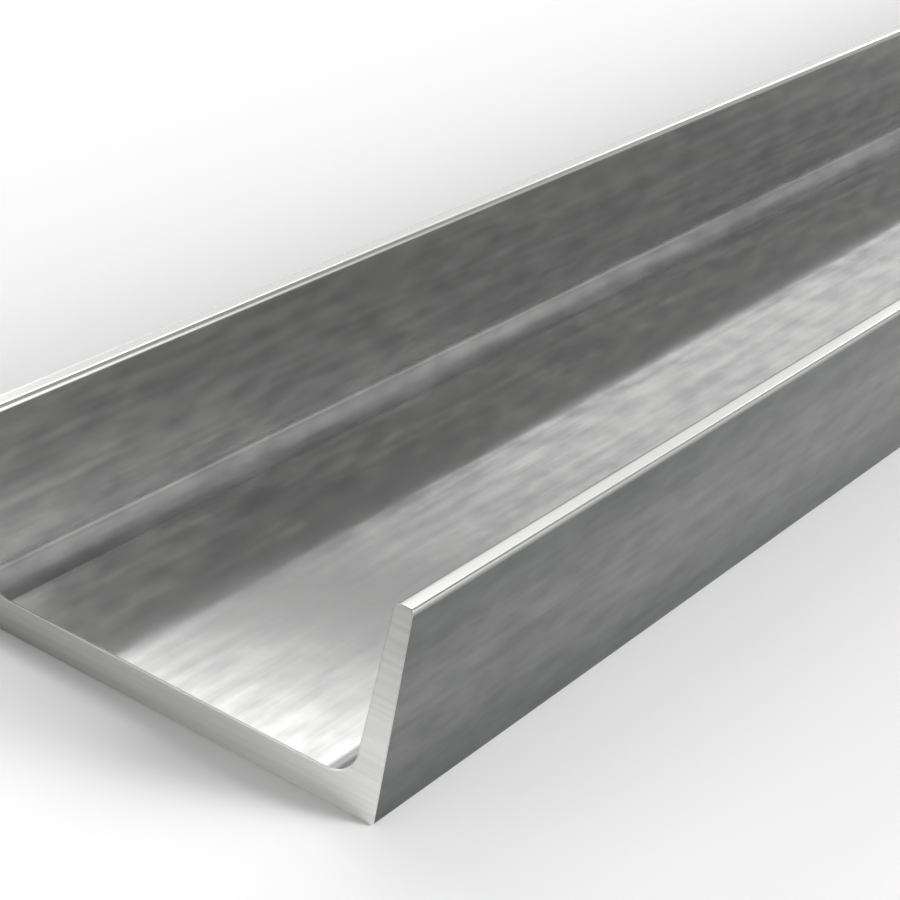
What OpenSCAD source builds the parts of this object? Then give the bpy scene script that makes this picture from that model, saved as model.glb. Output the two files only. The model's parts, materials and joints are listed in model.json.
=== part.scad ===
// C-channel stock: one straight piece with a flat web and two flanges that stand up from it.
// It lies on the back of its web, open side up.
//   X runs across the web, Y along the length, Z up.
//   The origin is the middle of the back of the web.

/* [Section] */
// Depth of the channel: the width across the web, outside to outside
web_width = 76.2; // [50:0.1:160]
// Height of the flanges, from the back of the web to the toes
flange_height = 34.9; // [20:0.1:80]
// Thickness of the web
web_thick = 5.5; // [3:0.1:12]
// Thickness of each flange at its toe
toe_thick = 3; // [2.6:0.1:8]
// How fast a flange thickens from its toe to the web, in percent
flange_taper = 6; // [0:0.5:17]

/* [Corners] */
// Radius of the fillet where each flange meets the web
root_fillet = 4.5; // [1:0.1:10]
// Radius on the inner edge of each toe
toe_inner_round = 1; // [0.3:0.1:1.4]
// Radius on the outer edge of each toe
toe_outer_round = 0.5; // [0.2:0.1:1.2]
// Radius on the outer corner under each flange
heel_round = 0.6; // [0.2:0.1:4]

/* [Length] */
// Length of the piece between its two square-cut ends
piece_length = 609.6; // [150:0.1:6100]

/* [Hidden] */
$fn = 96;

// Angle between upright and a flange's inner face
lean = atan(flange_taper / 100);

// Place across the section of the +X flange's outer face, and of its inner face at height z
outer_x = web_width / 2;
function inner_x(z) = outer_x - toe_thick - (flange_height - z) * tan(lean);

// An arc that meets the sloping inner face is centred this much nearer to the face than its radius,
// so that the two cross at one clean edge
graze = 0.0002;

// Root fillet: it touches the web and the flange's inner face
root_z = web_thick + root_fillet;
root_centre = [inner_x(root_z) - root_fillet / cos(lean) + graze, root_z];
root_end_z = root_z - root_fillet * sin(lean);

// Inner round of the toe: it touches the flange's inner face and the toe's flat top
toe_z = flange_height - toe_inner_round;
toe_inner_centre = [inner_x(toe_z) + toe_inner_round / cos(lean) - graze, toe_z];
toe_end_z = toe_z + toe_inner_round * sin(lean);

// Outer rounds of the toe and of the corner under the flange
toe_outer_centre = [outer_x - toe_outer_round, flange_height - toe_outer_round];
heel_centre = [outer_x - heel_round, heel_round];

// Outline of the half at +X, from the back of the web round the flange to the web's inner face.
// A straight cut joins the two ends of each arc, and the fillet's two ends meet at its centre.
half_outline = [
    [heel_centre[0], 0],
    [outer_x, heel_centre[1]],
    [outer_x, toe_outer_centre[1]],
    [toe_outer_centre[0], flange_height],
    [toe_inner_centre[0], flange_height],
    [inner_x(toe_end_z), toe_end_z],
    [inner_x(root_end_z), root_end_z],
    root_centre,
    [root_centre[0], web_thick]
];

function mirrored(points) = [for (i = [len(points) - 1 : -1 : 0]) [-points[i][0], points[i][1]]];

// The same disc on both sides of the section
module disc_pair(centre, radius) {
    for (side = [-1, 1])
        translate([side * centre[0], centre[1]])
            circle(r = radius);
}

// Cross-section, with X across the web and Y up the flanges
module section() {
    difference() {
        union() {
            polygon(concat(half_outline, mirrored(half_outline)));
            disc_pair(heel_centre, heel_round);
            disc_pair(toe_outer_centre, toe_outer_round);
            disc_pair(toe_inner_centre, toe_inner_round);
        }
        disc_pair(root_centre, root_fillet);
    }
}

module c_channel() {
    color("#a6a6a6")
        translate([0, piece_length / 2, 0])
            rotate([90, 0, 0])
                linear_extrude(piece_length)
                    section();
}

c_channel();
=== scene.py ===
"""C-channel stock: one cut length of rolled steel channel, lying on the back of its web on a pale floor.

Laid out as an add-on. The settings hold the sizes and colours. One operator makes the channel, and one the
stage.
"""

import json
import math

import bmesh
import bpy
from bpy.props import FloatProperty, FloatVectorProperty, PointerProperty
from mathutils import Matrix, Vector


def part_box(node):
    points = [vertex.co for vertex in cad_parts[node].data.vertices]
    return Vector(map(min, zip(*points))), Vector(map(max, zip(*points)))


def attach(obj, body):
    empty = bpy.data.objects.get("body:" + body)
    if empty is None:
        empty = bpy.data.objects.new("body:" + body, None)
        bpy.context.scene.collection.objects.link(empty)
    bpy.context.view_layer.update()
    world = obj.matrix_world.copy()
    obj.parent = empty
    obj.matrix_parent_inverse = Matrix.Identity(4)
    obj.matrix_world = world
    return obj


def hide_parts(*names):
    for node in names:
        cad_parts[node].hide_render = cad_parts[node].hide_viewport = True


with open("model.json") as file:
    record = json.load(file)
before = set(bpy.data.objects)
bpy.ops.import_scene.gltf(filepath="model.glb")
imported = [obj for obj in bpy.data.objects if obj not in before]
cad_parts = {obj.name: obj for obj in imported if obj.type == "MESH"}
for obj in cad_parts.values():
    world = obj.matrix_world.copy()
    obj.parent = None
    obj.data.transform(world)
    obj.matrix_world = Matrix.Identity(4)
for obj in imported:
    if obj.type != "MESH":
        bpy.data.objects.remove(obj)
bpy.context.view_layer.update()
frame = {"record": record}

bl_info = {
    "name": "C-channel stock",
    "version": (1, 0, 0),
    "blender": (4, 5, 0),
    "location": "3D View > Sidebar > C-channel",
    "description": "Models one cut length of steel channel and its studio stage",
    "category": "Add Mesh",
}

MM = 0.001
RIGHT_ANGLE = math.radians(90)
WHITE = (1, 1, 1, 1)

NODE = "c_channel"
PIECE = "channel_stock"
LOW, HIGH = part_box(NODE)
MOUNTS = {mount["name"]: mount for mount in frame["record"]["mounts"]}
WEB_TOP = MOUNTS["web_inside"]["pos_m"][2]

# The piece's material slots
ROLLED, SAWN = 0, 1

# From the middle of the floor to each of its sides, in metres
FLOOR_REACH = 8.0

# Radiance of the room, and of each bank of light that is added to it. A bank has its radiance, its range of
# azimuth and its range of elevation. Azimuth goes round from +Y towards +X, and elevation goes up from the
# floor. Each range is given by its two ends and how soft they are, in degrees. Left is -X, right is +X, and
# the front is -Y. All together they light a white floor to about white.
ROOM_LEVEL = 0.15
LIGHT_BANKS = {
    "pale walls all round": (0.42, (-190, 190, 3), (-20, 31, 3)),
    "left wall": (0.23, (-38, -16, 3), (8, 31, 3)),
    "foot of the left wall": (0.33, (-38, -16, 3), (8, 27.5, 2)),
    "left window": (3.5, (-90, -42, 4), (8, 31, 3)),
    "window in line": (4.0, (-16, 0, 3), (8, 31, 3)),
    "right wall": (1.3, (38, 56, 6), (8, 31, 3)),
    "right window": (17.0, (56, 74, 8), (8, 31, 3)),
    "left softbox": (3.8, (-55, -16, 3), (32.5, 44, 3)),
    "right softbox": (10.0, (43, 72, 9.5), (31, 44, 4)),
    "ceiling": (0.3, (-90, 100, 4), (36, 120, 4)),
    "low front window": (4.0, (-172, -130, 8), (0, 16, 3)),
}


def linear(hex_colour):
    """Linear red, green and blue of an sRGB hex colour."""
    channels = [int(hex_colour[i:i + 2], 16) / 255 for i in (1, 3, 5)]
    return [c / 12.92 if c <= 0.04045 else ((c + 0.055) / 1.055) ** 2.4 for c in channels]


# ---------------------------------------------------------------- settings


class ChannelShape(bpy.types.PropertyGroup):
    """Sizes of the section and of its edges. The outside and the web's thickness come from the frame."""

    toe_thick: FloatProperty(
        name="Toe thickness", description="Thickness of each flange at its toe",
        default=3.0 * MM, unit="LENGTH")
    flange_taper: FloatProperty(
        name="Flange taper", description="How fast a flange thickens from its toe to the web",
        default=0.06, subtype="FACTOR")
    root_fillet: FloatProperty(
        name="Root fillet", description="Radius between the web and each flange",
        default=4.5 * MM, unit="LENGTH")
    toe_inner_round: FloatProperty(
        name="Inner toe round", description="Radius on the inner edge of each toe",
        default=1.0 * MM, unit="LENGTH")
    toe_outer_round: FloatProperty(
        name="Outer toe round", description="Radius on the outer edge of each toe",
        default=0.5 * MM, unit="LENGTH")
    heel_round: FloatProperty(
        name="Heel round", description="Radius on the outer corner under each flange",
        default=0.6 * MM, unit="LENGTH")
    saw_edge: FloatProperty(
        name="Saw edge", description="Width of the broken edge round each sawn end",
        default=0.2 * MM, unit="LENGTH")


class ChannelFinish(bpy.types.PropertyGroup):
    """Colours of the steel, and sizes of the marks on it."""

    steel: FloatVectorProperty(
        name="Rolled steel", description="Darkest tone of the rolled faces",
        default=linear("#969696"), size=3, subtype="COLOR", min=0, max=1)
    steel_bright: FloatVectorProperty(
        name="Bright steel", description="Brightest tone of the rolled faces",
        default=linear("#B6B6B5"), size=3, subtype="COLOR", min=0, max=1)
    # Also paints shade: it darkens the outer faces, most along their edges, and the fillets
    scale_and_shade_tint: FloatVectorProperty(
        name="Mill scale", description="Tint that a thin dark scale gives the outer faces and the fillets",
        default=linear("#969A98"), size=3, subtype="COLOR", min=0, max=1)
    # Also a painted highlight: this bright colour runs along the top of each toe
    worn_and_highlit: FloatVectorProperty(
        name="Worn toes", description="Colour of the toes, which handling has rubbed bright",
        default=linear("#C4C4C2"), size=3, subtype="COLOR", min=0, max=1)
    # The sawn ends also get painted light and shade, brightest at the lower corner at +X
    sawn: FloatVectorProperty(
        name="Sawn steel", description="Colour of the sawn ends where they are brightest",
        default=linear("#E8E8E6"), size=3, subtype="COLOR", min=0, max=1)
    # Lines left by real rolls are finer. These are as coarse as they need to be to show
    streaks: FloatVectorProperty(
        name="Streaks", description="Width and length of the streaks on the rolled faces",
        default=(1.7 * MM, 45 * MM), size=2, unit="LENGTH")
    patches: FloatVectorProperty(
        name="Patches", description="Width and length of the mottled patches",
        default=(3.2 * MM, 9.6 * MM), size=2, unit="LENGTH")
    clouds: FloatVectorProperty(
        name="Clouds", description="Width and length of the broad, faint clouds",
        default=(14 * MM, 30 * MM), size=2, unit="LENGTH")
    swells: FloatVectorProperty(
        name="Swells", description="Width and length of the swells in the rolled faces",
        default=(30 * MM, 60 * MM), size=2, unit="LENGTH")
    streak_depth: FloatProperty(
        name="Streak depth", description="Depth of the streaks",
        default=0.002 * MM, unit="LENGTH")
    swell_depth: FloatProperty(
        name="Swell depth", description="How far the swells take the rolled faces from flat",
        default=0.08 * MM, unit="LENGTH")
    saw_lines: FloatVectorProperty(
        name="Saw lines", description="Width and length of the lines on a sawn end",
        default=(0.9 * MM, 25 * MM), size=2, unit="LENGTH")
    saw_tilt: FloatProperty(
        name="Saw tilt", description="How far the lines on a sawn end are from level",
        default=math.radians(12), subtype="ANGLE")
    saw_depth: FloatProperty(
        name="Saw depth", description="Depth of the lines on a sawn end",
        default=0.03 * MM, unit="LENGTH")


class ChannelStage(bpy.types.PropertyGroup):
    """The floor and the camera."""

    floor: FloatVectorProperty(
        name="Floor", description="Colour of the floor for the light that it throws on the channel",
        default=linear("#FAFAFA"), size=3, subtype="COLOR", min=0, max=1)
    azimuth: FloatProperty(
        name="Camera azimuth", description="How far round the camera stands, from the near end towards +X",
        default=math.radians(28.46), subtype="ANGLE")
    elevation: FloatProperty(
        name="Camera elevation", description="How steeply the camera looks down",
        default=math.radians(26.26), subtype="ANGLE")
    roll: FloatProperty(
        name="Camera roll", description="How far the camera is turned about its own axis",
        default=math.radians(10.75), subtype="ANGLE")
    distance: FloatProperty(
        name="Camera distance", description="From the camera to the point it aims at",
        default=0.46515, unit="LENGTH")
    lens: FloatProperty(
        name="Lens", description="Focal length in millimetres, on a 36 mm sensor",
        default=107.27, unit="CAMERA")
    aim: FloatVectorProperty(
        name="Aim", description="Point on the web that the camera aims at, from the middle of the near end",
        default=(-0.01309, 0.09607, 0.0055), size=3, subtype="XYZ", unit="LENGTH")


# ---------------------------------------------------------------- helpers


def node(tree, kind, inputs=None, **settings):
    """Adds a shader node. Each input is given a constant, or the output socket that it is linked to."""
    made = tree.nodes.new(kind)
    for name, value in settings.items():
        setattr(made, name, value)
    for name, value in (inputs or {}).items():
        if isinstance(value, bpy.types.NodeSocket):
            tree.links.new(value, made.inputs[name])
        else:
            made.inputs[name].default_value = value
    return made


def new_material(name):
    """A material with no nodes yet, and its node tree."""
    material = bpy.data.materials.new(name)
    material.use_nodes = True
    material.node_tree.nodes.clear()
    return material, material.node_tree


def new_object(context, name, bm):
    """An object in the scene with the bmesh as its mesh. The bmesh is freed."""
    mesh = bpy.data.meshes.new(name)
    bm.to_mesh(mesh)
    bm.free()
    made = bpy.data.objects.new(name, mesh)
    context.scene.collection.objects.link(made)
    return made


# ---------------------------------------------------------------- materials


def rolled_steel(finish, root_x, root_fillet):
    """Bare rolled steel: a grey metal, smooth enough to mirror its own flanges, with streaks along it.

    root_x is where the faces of the web and of a flange would meet if no fillet lay between them.
    """
    material, tree = new_material("rolled_steel")
    place = node(tree, "ShaderNodeTexCoord").outputs["Object"]
    axes = node(tree, "ShaderNodeSeparateXYZ", {"Vector": place}).outputs
    side = node(tree, "ShaderNodeMath", {0: axes["X"]}, operation="ABSOLUTE").outputs["Value"]

    # Streaks left by the rolls, mottled patches of thin scale, broad clouds, and long swells of the surface
    patterns = []
    for (width, length), detail in (
            (finish.streaks, 2.0), (finish.patches, 3.0), (finish.clouds, 1.0), (finish.swells, 3.0)):
        at = node(tree, "ShaderNodeMapping", {
            "Vector": place, "Scale": (1 / width, 1 / length, 1 / width)})
        made = node(tree, "ShaderNodeTexNoise", {
            "Vector": at.outputs["Vector"], "Scale": 1.0, "Detail": detail})
        patterns.append(made.outputs["Fac"])
    streaks, patches, clouds, swells = patterns

    # The tone adds up the first three, and turns the steel from dark to bright
    streak_share, cloud_share = 0.7, 0.35
    dark_tone, bright_tone = 0.77, 1.28
    tone = node(tree, "ShaderNodeMath", {
        0: streaks, 1: streak_share, 2: patches}, operation="MULTIPLY_ADD")
    tone = node(tree, "ShaderNodeMath", {
        0: clouds, 1: cloud_share, 2: tone.outputs["Value"]}, operation="MULTIPLY_ADD")
    bright = node(tree, "ShaderNodeMapRange", {
        "Value": tone.outputs["Value"], "From Min": dark_tone, "From Max": bright_tone}).outputs["Result"]
    steel = node(tree, "ShaderNodeMix", {
        "Factor": bright, "A": (*finish.steel, 1), "B": (*finish.steel_bright, 1)}, data_type="RGBA")

    # How far a point is on the fillets, which fade into the faces. The fillet at -X is made much rougher
    # than the one at +X, and gets much more painted shade from the dark tint below
    fillet_half = root_fillet / 2
    fillet_x = root_x - fillet_half
    fade_start, fade_end = fillet_half - 0.25 * MM, fillet_half + 0.15 * MM
    smooth_lit_side = 0.1
    off_fillet = node(tree, "ShaderNodeMath", {0: side, 1: fillet_x}, operation="SUBTRACT")
    off_fillet = node(tree, "ShaderNodeMath", {0: off_fillet.outputs["Value"]}, operation="ABSOLUTE")
    rough_shaded_side = node(tree, "ShaderNodeMapRange", {
        "Value": axes["X"], "From Min": LOW.x, "From Max": HIGH.x, "To Min": 1.0, "To Max": smooth_lit_side})
    on_fillet = node(tree, "ShaderNodeMapRange", {
        "Value": off_fillet.outputs["Value"], "From Min": fade_start, "From Max": fade_end,
        "To Min": rough_shaded_side.outputs["Result"], "To Max": 0.0}).outputs["Result"]

    # How far it is on the outer faces, which fade in over their rounded edges
    edge_depth, face_depth = 0.6 * MM, 0.1 * MM
    outside = node(tree, "ShaderNodeMapRange", {
        "Value": side, "From Min": HIGH.x - edge_depth, "From Max": HIGH.x - face_depth})

    # Both get a dark tint, part thin scale and part painted shade; the outer faces get most along their
    # edges
    fillet_shade_and_scale, middle_shade = 0.65, 0.7
    middle_within, edge_past = 5 * MM, 16 * MM
    off_middle = node(tree, "ShaderNodeMath", {0: axes["Z"], 1: HIGH.z / 2}, operation="SUBTRACT")
    off_middle = node(tree, "ShaderNodeMath", {0: off_middle.outputs["Value"]}, operation="ABSOLUTE")
    painted_edge_shade = node(tree, "ShaderNodeMapRange", {
        "Value": off_middle.outputs["Value"], "From Min": middle_within, "From Max": edge_past,
        "To Min": middle_shade, "To Max": 1.0})
    # Painted shade in the fillets, which the same dark tint gives along with their thin scale
    scale_and_shade_share = node(tree, "ShaderNodeMath", {0: on_fillet, 1: fillet_shade_and_scale}, operation="MULTIPLY")
    scale_and_shade_share = node(tree, "ShaderNodeMath", {
        0: outside.outputs["Result"], 1: painted_edge_shade.outputs["Result"], 2: scale_and_shade_share.outputs["Value"]},
        operation="MULTIPLY_ADD")
    # The dark tint: thin scale, and painted shade on the outer faces and in the fillets
    scaled_and_shaded = node(tree, "ShaderNodeMix", {
        "Factor": scale_and_shade_share.outputs["Value"], "A": steel.outputs["Result"], "B": (*finish.scale_and_shade_tint, 1)},
        data_type="RGBA", blend_type="MULTIPLY")

    # The toe tops get a bright colour: rub marks from handling, and a painted highlight along each toe
    toe_band_start, toe_band_full = 1.2 * MM, 0.3 * MM
    rubbed_and_highlit = node(tree, "ShaderNodeMapRange", {
        "Value": axes["Z"], "From Min": HIGH.z - toe_band_start, "From Max": HIGH.z - toe_band_full})
    colour = node(tree, "ShaderNodeMix", {
        "Factor": rubbed_and_highlit.outputs["Result"], "A": scaled_and_shaded.outputs["Result"], "B": (*finish.worn_and_highlit, 1)},
        data_type="RGBA")

    # The web comes out of the rolls smooth, and smoothest where it is bright. The flanges are less smooth,
    # and the fillets are rough
    web_dark_roughness, web_bright_roughness = 0.12, 0.06
    flange_roughness, fillet_roughness = 0.22, 0.68
    blend_half = 1 * MM
    web_gloss = node(tree, "ShaderNodeMapRange", {
        "Value": bright, "To Min": web_dark_roughness, "To Max": web_bright_roughness})
    face_gloss = node(tree, "ShaderNodeMapRange", {
        "Value": side, "From Min": fillet_x - blend_half, "From Max": fillet_x + blend_half,
        "To Min": web_gloss.outputs["Result"], "To Max": flange_roughness})
    gloss = node(tree, "ShaderNodeMapRange", {
        "Value": on_fillet, "To Min": face_gloss.outputs["Result"], "To Max": fillet_roughness})

    # The swells make a mirrored edge wander, and the streaks have a little depth
    swell = node(tree, "ShaderNodeBump", {"Height": swells, "Distance": finish.swell_depth})
    grain = node(tree, "ShaderNodeBump", {
        "Height": streaks, "Distance": finish.streak_depth, "Normal": swell.outputs["Normal"]})
    bsdf = node(tree, "ShaderNodeBsdfPrincipled", {
        "Base Color": colour.outputs["Result"], "Metallic": 1.0, "Roughness": gloss.outputs["Result"],
        "Normal": grain.outputs["Normal"]})
    node(tree, "ShaderNodeOutputMaterial", {"Surface": bsdf.outputs["BSDF"]})
    return material


def sawn_steel(finish):
    """Freshly sawn steel: lighter and duller than the rolled faces, with fine lines left by the saw."""
    material, tree = new_material("sawn_steel")
    place = node(tree, "ShaderNodeTexCoord").outputs["Object"]
    axes = node(tree, "ShaderNodeSeparateXYZ", {"Vector": place}).outputs

    # Saw lines, from the noise's value in a groove to its value on a ridge
    width, length = finish.saw_lines
    groove, ridge = 0.3, 0.7
    lines_at = node(tree, "ShaderNodeMapping", {
        "Vector": place, "Rotation": (0, finish.saw_tilt, 0), "Scale": (1 / length, 1, 1 / width)})
    lines = node(tree, "ShaderNodeTexNoise", {
        "Vector": lines_at.outputs["Vector"], "Scale": 1.0, "Detail": 2.0}).outputs["Fac"]
    groove_shade, groove_roughness, ridge_roughness = 0.85, 0.5, 0.38
    shade = node(tree, "ShaderNodeMapRange", {
        "Value": lines, "From Min": groove, "From Max": ridge, "To Min": groove_shade, "To Max": 1.0})
    gloss = node(tree, "ShaderNodeMapRange", {
        "Value": lines, "From Min": groove, "From Max": ridge,
        "To Min": groove_roughness, "To Max": ridge_roughness})
    grain = node(tree, "ShaderNodeBump", {"Height": lines, "Distance": finish.saw_depth})

    # Painted light and shade: the cut is brightest at its lower corner at +X, darker towards -X and higher
    # up
    painted_light_x, painted_light_z = 0.6 * HIGH.x, 0.1 * HIGH.z
    painted_shade_side, painted_shade_top = 0.42, 0.5
    painted_light_across = node(tree, "ShaderNodeMapRange", {
        "Value": axes["X"], "From Min": LOW.x, "From Max": painted_light_x, "To Min": painted_shade_side, "To Max": 1.0})
    painted_shade_upward = node(tree, "ShaderNodeMapRange", {
        "Value": axes["Z"], "From Min": painted_light_z, "From Max": HIGH.z, "To Min": 1.0, "To Max": painted_shade_top})
    painted_light_sweep = node(tree, "ShaderNodeMath", {
        0: painted_light_across.outputs["Result"], 1: painted_shade_upward.outputs["Result"]}, operation="MULTIPLY")
    shade = node(tree, "ShaderNodeMath", {
        0: shade.outputs["Result"], 1: painted_light_sweep.outputs["Value"]}, operation="MULTIPLY")
    tint = node(tree, "ShaderNodeVectorMath", {
        0: finish.sawn, "Scale": shade.outputs["Value"]}, operation="SCALE")
    bsdf = node(tree, "ShaderNodeBsdfPrincipled", {
        "Base Color": tint.outputs["Vector"], "Metallic": 1.0, "Roughness": gloss.outputs["Result"],
        "Normal": grain.outputs["Normal"]})
    node(tree, "ShaderNodeOutputMaterial", {"Surface": bsdf.outputs["BSDF"]})
    return material


def studio_floor(stage):
    """Matt, pale floor, which is white to the camera and in the metal's mirror."""
    material, tree = new_material("studio_floor")
    rays = node(tree, "ShaderNodeLightPath").outputs
    seen = rays["Is Camera Ray"]
    for kind in ("Is Glossy Ray", "Is Transmission Ray"):
        seen = node(tree, "ShaderNodeMath", {0: seen, 1: rays[kind]}, operation="MAXIMUM").outputs["Value"]
    colour = node(tree, "ShaderNodeMix", {
        "Factor": seen, "A": (*stage.floor, 1), "B": WHITE}, data_type="RGBA")
    bsdf = node(tree, "ShaderNodeBsdfDiffuse", {"Color": colour.outputs["Result"]})
    node(tree, "ShaderNodeOutputMaterial", {"Surface": bsdf.outputs["BSDF"]})
    return material


# ---------------------------------------------------------------- the channel


def sharp_section(shape):
    """Corners of the section's +X half before its rounds and fillets, as x and z, from the heel inwards."""
    toe_x = HIGH.x - shape.toe_thick
    root_x = toe_x - (HIGH.z - WEB_TOP) * shape.flange_taper
    return {
        "heel": (HIGH.x, LOW.z), "toe_outer": (HIGH.x, HIGH.z),
        "toe_inner": (toe_x, HIGH.z), "root": (root_x, WEB_TOP),
    }


def round_edges(bm, corner, radius, half_angle, segments):
    """Rounds the two lengthwise edges at a corner of the section, one on each side, to a radius.

    half_angle is half the angle between the two faces, measured on the side that holds the arc's centre.
    """
    near = 0.01 * MM
    edges = []
    for edge in bm.edges:
        start, end = (vert.co for vert in edge.verts)
        at_corner = math.dist((abs(start.x), start.z), corner) < near
        if at_corner and math.dist(start.xz, end.xz) < near:
            edges.append(edge)
    if len(edges) != 2:
        raise RuntimeError(f"{len(edges)} edges lie at the corner {corner}, not 2")
    bmesh.ops.bevel(
        bm, geom=edges, affect="EDGES", offset_type="OFFSET", offset=radius / math.tan(half_angle),
        segments=segments, profile=0.5, material=-1, clamp_overlap=False)


class MESH_OT_channel_stock(bpy.types.Operator):
    """Model the cut length of channel"""

    bl_idname = "mesh.channel_stock"
    bl_label = "Channel stock"

    def execute(self, context):
        shape, finish = context.scene.channel_shape, context.scene.channel_finish
        corners = sharp_section(shape)
        right = list(corners.values())
        outline = right + [(-x, z) for x, z in reversed(right)]

        bm = bmesh.new()
        near_end = bm.faces.new([bm.verts.new((x, LOW.y, z)) for x, z in outline])
        swept = bmesh.ops.extrude_face_region(bm, geom=[near_end])["geom"]
        far_end = [part for part in swept if isinstance(part, bmesh.types.BMVert)]
        bmesh.ops.translate(bm, vec=(0, HIGH.y - LOW.y, 0), verts=far_end)
        bmesh.ops.recalc_face_normals(bm, faces=bm.faces)

        lean = math.atan(shape.flange_taper)
        wide, narrow = RIGHT_ANGLE + lean, RIGHT_ANGLE - lean
        round_edges(bm, corners["root"], shape.root_fillet, wide / 2, segments=20)
        round_edges(bm, corners["toe_inner"], shape.toe_inner_round, narrow / 2, segments=10)
        round_edges(bm, corners["toe_outer"], shape.toe_outer_round, RIGHT_ANGLE / 2, segments=6)
        round_edges(bm, corners["heel"], shape.heel_round, RIGHT_ANGLE / 2, segments=6)

        # The two ends are the only faces that face along the channel
        for face in bm.faces:
            face.material_index = SAWN if abs(face.normal.y) > 0.5 else ROLLED
            face.smooth = True
        rims = [edge for edge in bm.edges if {f.material_index for f in edge.link_faces} == {ROLLED, SAWN}]
        bmesh.ops.bevel(
            bm, geom=rims, affect="EDGES", offset_type="OFFSET", offset=shape.saw_edge,
            segments=2, profile=0.5, material=SAWN, clamp_overlap=False)

        piece = new_object(context, PIECE, bm)
        root_x, _ = corners["root"]
        piece.data.materials.append(rolled_steel(finish, root_x, shape.root_fillet))
        piece.data.materials.append(sawn_steel(finish))
        # The wide flat faces keep their own shading, and each arc blends into them
        flats = piece.modifiers.new("flat_faces", "WEIGHTED_NORMAL")
        flats.weight = 100
        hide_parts(NODE)
        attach(piece, "root")
        return {"FINISHED"}


# ---------------------------------------------------------------- the stage


def studio_light(context):
    """A pale room with soft banks of light, each given by the directions that it fills."""
    world = bpy.data.worlds.new("studio")
    context.scene.world = world
    world.use_nodes = True
    tree = world.node_tree
    tree.nodes.clear()
    direction = node(tree, "ShaderNodeTexCoord").outputs["Generated"]
    axes = node(tree, "ShaderNodeSeparateXYZ", {"Vector": direction}).outputs
    azimuth = node(tree, "ShaderNodeMath", {
        0: axes["X"], 1: axes["Y"]}, operation="ARCTAN2").outputs["Value"]
    elevation = node(tree, "ShaderNodeMath", {0: axes["Z"]}, operation="ARCSINE").outputs["Value"]

    def between(value, low, high, soft):
        """1 between two angles, given in degrees, and 0 outside them, with a soft edge at each."""
        low, high, soft = map(math.radians, (low, high, soft))
        half = (high - low) / 2
        away = node(tree, "ShaderNodeMath", {0: value, 1: (low + high) / 2}, operation="SUBTRACT")
        away = node(tree, "ShaderNodeMath", {0: away.outputs["Value"]}, operation="ABSOLUTE")
        edge = node(tree, "ShaderNodeMapRange", {
            "Value": away.outputs["Value"], "From Min": half - soft, "From Max": half + soft,
            "To Min": 1.0, "To Max": 0.0}, interpolation_type="SMOOTHSTEP")
        return edge.outputs["Result"]

    level = ROOM_LEVEL
    for radiance, sides, heights in LIGHT_BANKS.values():
        bank = node(tree, "ShaderNodeMath", {
            0: between(azimuth, *sides), 1: between(elevation, *heights)}, operation="MULTIPLY")
        level = node(tree, "ShaderNodeMath", {
            0: bank.outputs["Value"], 1: radiance, 2: level}, operation="MULTIPLY_ADD").outputs["Value"]
    light = node(tree, "ShaderNodeBackground", {"Color": WHITE, "Strength": level})
    node(tree, "ShaderNodeOutputWorld", {"Surface": light.outputs["Background"]})


def place_camera(context, stage):
    """The camera, beyond the near end and on its +X side, looking down along the channel."""
    near_end = Vector((0, LOW.y, 0))
    back = Vector((
        math.sin(stage.azimuth) * math.cos(stage.elevation),
        -math.cos(stage.azimuth) * math.cos(stage.elevation),
        math.sin(stage.elevation)))
    camera = bpy.data.objects.new("camera", bpy.data.cameras.new("camera"))
    context.scene.collection.objects.link(camera)
    camera.data.lens = stage.lens
    camera.data.clip_start = 10 * MM
    camera.rotation_mode = "QUATERNION"
    level_view = (-back).to_track_quat("-Z", "Y")
    camera.rotation_quaternion = level_view @ Matrix.Rotation(stage.roll, 3, "Z").to_quaternion()
    camera.location = near_end + Vector(stage.aim) + stage.distance * back
    context.scene.camera = camera


class SCENE_OT_channel_stage(bpy.types.Operator):
    """Lay the floor, set the light and place the camera"""

    bl_idname = "scene.channel_stage"
    bl_label = "Studio stage"

    def execute(self, context):
        stage = context.scene.channel_stage
        bm = bmesh.new()
        bmesh.ops.create_grid(bm, x_segments=1, y_segments=1, size=FLOOR_REACH)
        floor = new_object(context, "floor", bm)
        floor.data.materials.append(studio_floor(stage))
        studio_light(context)
        place_camera(context, stage)
        context.scene.view_settings.view_transform = "Standard"
        return {"FINISHED"}


class VIEW3D_PT_channel(bpy.types.Panel):
    """Settings and steps of the channel"""

    bl_label = "C-channel"
    bl_space_type = "VIEW_3D"
    bl_region_type = "UI"
    bl_category = "C-channel"

    def draw(self, context):
        scene = context.scene
        for settings in (scene.channel_shape, scene.channel_finish, scene.channel_stage):
            for name in settings.__annotations__:
                self.layout.prop(settings, name)
        self.layout.operator(MESH_OT_channel_stock.bl_idname)
        self.layout.operator(SCENE_OT_channel_stage.bl_idname)


CLASSES = (
    ChannelShape, ChannelFinish, ChannelStage,
    MESH_OT_channel_stock, SCENE_OT_channel_stage, VIEW3D_PT_channel,
)


def register():
    for cls in CLASSES:
        bpy.utils.register_class(cls)
    bpy.types.Scene.channel_shape = PointerProperty(type=ChannelShape)
    bpy.types.Scene.channel_finish = PointerProperty(type=ChannelFinish)
    bpy.types.Scene.channel_stage = PointerProperty(type=ChannelStage)


def unregister():
    for name in ("channel_shape", "channel_finish", "channel_stage"):
        delattr(bpy.types.Scene, name)
    for cls in reversed(CLASSES):
        bpy.utils.unregister_class(cls)


def main():
    register()
    bpy.ops.mesh.channel_stock()
    bpy.ops.scene.channel_stage()


if __name__ == "__main__":
    main()
